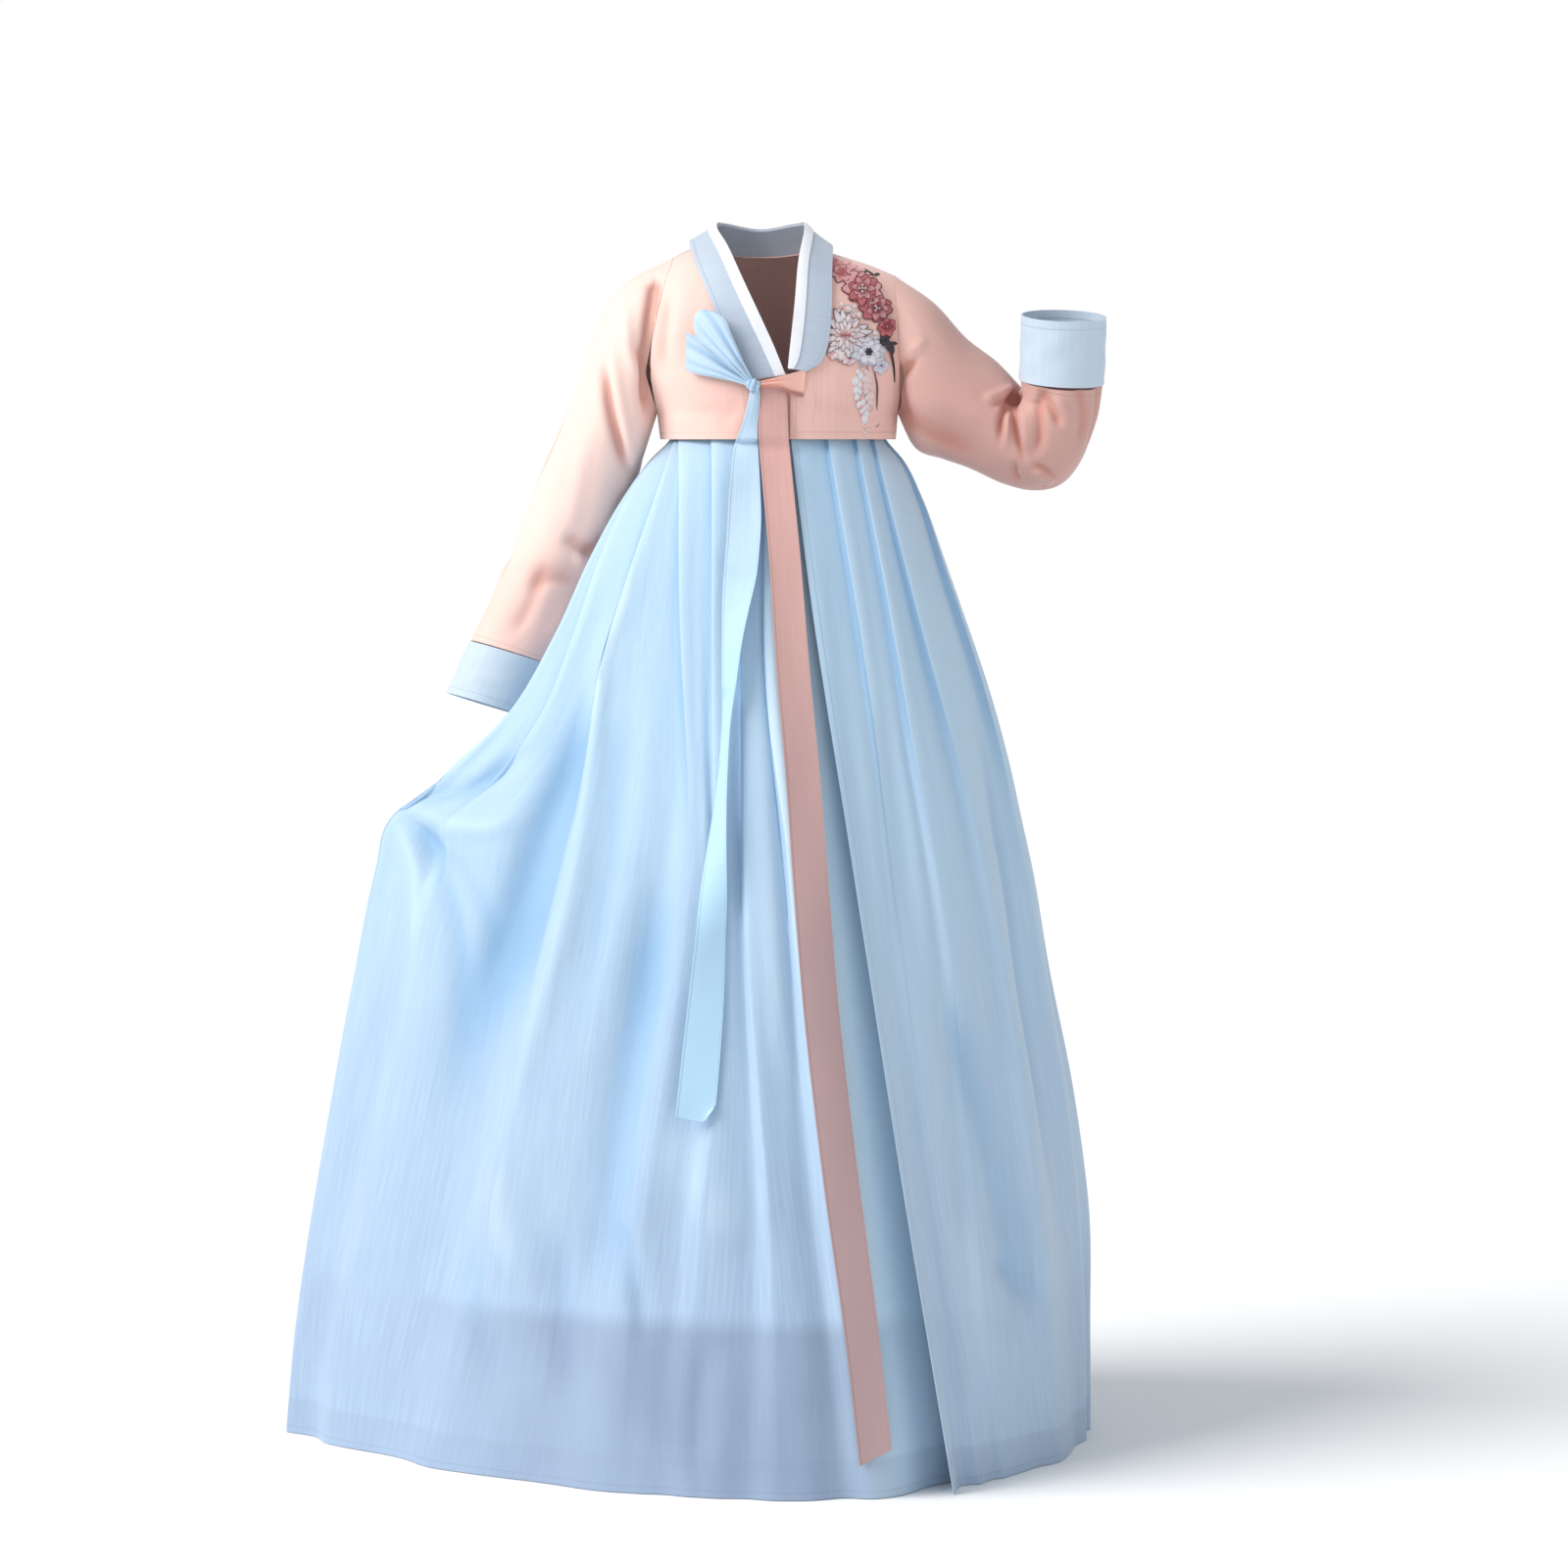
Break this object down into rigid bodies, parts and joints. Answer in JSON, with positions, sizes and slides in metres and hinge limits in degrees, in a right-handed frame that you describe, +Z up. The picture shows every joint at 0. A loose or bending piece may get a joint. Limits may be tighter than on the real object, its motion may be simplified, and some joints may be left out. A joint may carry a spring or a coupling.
{
  "type": "korean hanbok",
  "caption": "Worn Korean hanbok, hollow: short peach jacket with pale blue collar, cuffs and long ties, over a full pale blue wrap skirt held out at one side.",
  "frame": {"origin": "at the base of the neck, between the shoulders that carry the garment, in the wearer's middle plane", "axes": "+Z up, -Y towards the front, +X towards the wearer's left"},
  "size_m": [0.9232, 0.7106, 1.3679],
  "materials": {
    "peach_cloth": "matt, slightly glowing peach organza over a lining",
    "sky_blue_cloth": "soft pale blue organza with a faint sheen, sheer towards the hem",
    "pale_blue_cloth": "smooth pale blue satin-weave band",
    "white_cloth": "crisp white strip"
  },
  "bodies": {
    "root": {"bow_loop": "sky_blue_cloth", "bow_short_end": "sky_blue_cloth", "collar": "pale_blue_cloth", "cuff_left": "pale_blue_cloth", "cuff_right": "pale_blue_cloth", "dongjeong": "white_cloth", "jacket_back_left": "peach_cloth", "jacket_back_right": "peach_cloth", "jacket_front_left": "peach_cloth", "jacket_front_right": "peach_cloth", "knot": "sky_blue_cloth", "skirt_back_left": "sky_blue_cloth", "skirt_back_right": "sky_blue_cloth", "skirt_left_side": "sky_blue_cloth", "skirt_over_front": "sky_blue_cloth", "skirt_right_side": "sky_blue_cloth", "skirt_under_front": "sky_blue_cloth", "sleeve_left": "peach_cloth", "sleeve_right": "peach_cloth", "tie_blue": "sky_blue_cloth", "tie_peach": "peach_cloth", "tie_stub": "peach_cloth", "waistband": "sky_blue_cloth"}
  },
  "joints": []
}
